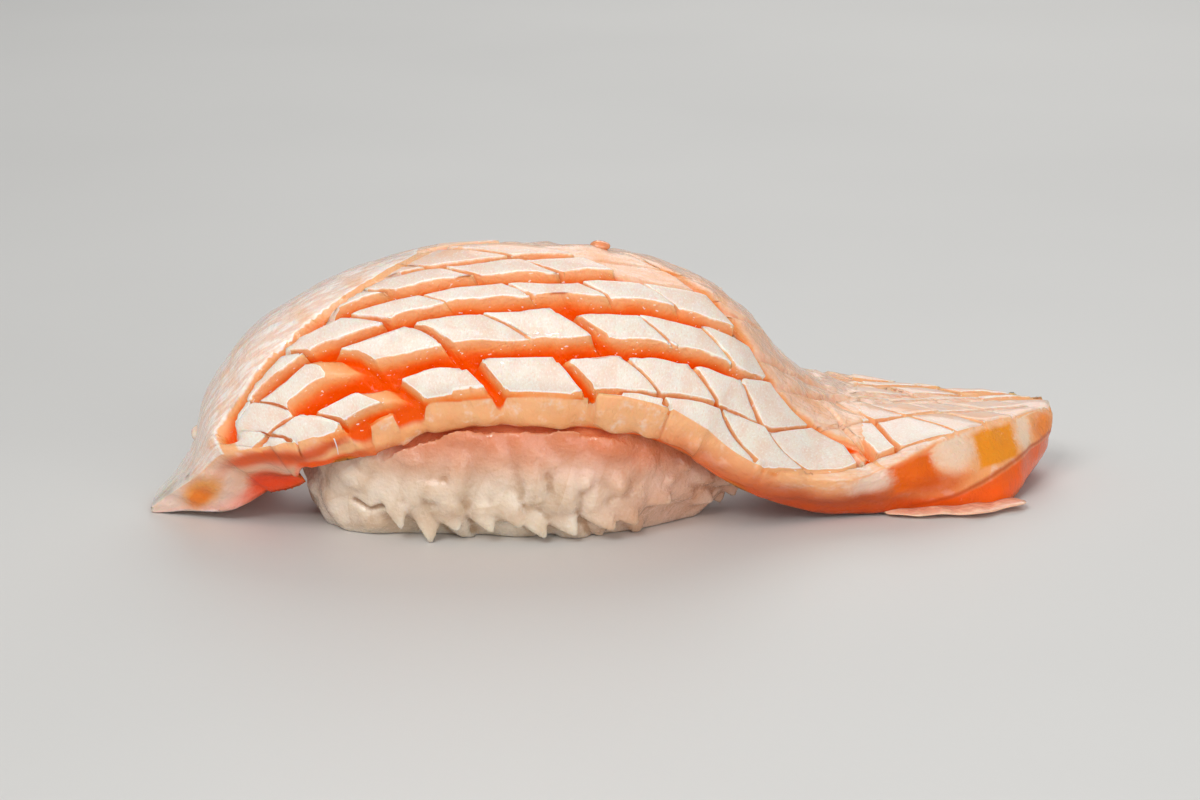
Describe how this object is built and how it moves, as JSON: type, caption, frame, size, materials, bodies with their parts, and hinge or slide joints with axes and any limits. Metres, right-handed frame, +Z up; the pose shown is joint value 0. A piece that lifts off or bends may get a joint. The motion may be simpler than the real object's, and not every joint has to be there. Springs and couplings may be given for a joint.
{
  "type": "salmon nigiri sushi",
  "caption": "Nigiri sushi: a long scored slice of raw salmon draped over a pressed block of cooked rice.",
  "frame": {"origin": "on the table plane, under the middle of the part's box", "axes": "+X along the slice towards its flat tail, -Y towards the scored near edge, +Z up"},
  "size_m": [0.097, 0.0322, 0.029],
  "materials": {
    "salmon": null,
    "rice": null
  },
  "bodies": {
    "root": {"salmon": "salmon", "rice": "rice"}
  },
  "joints": []
}
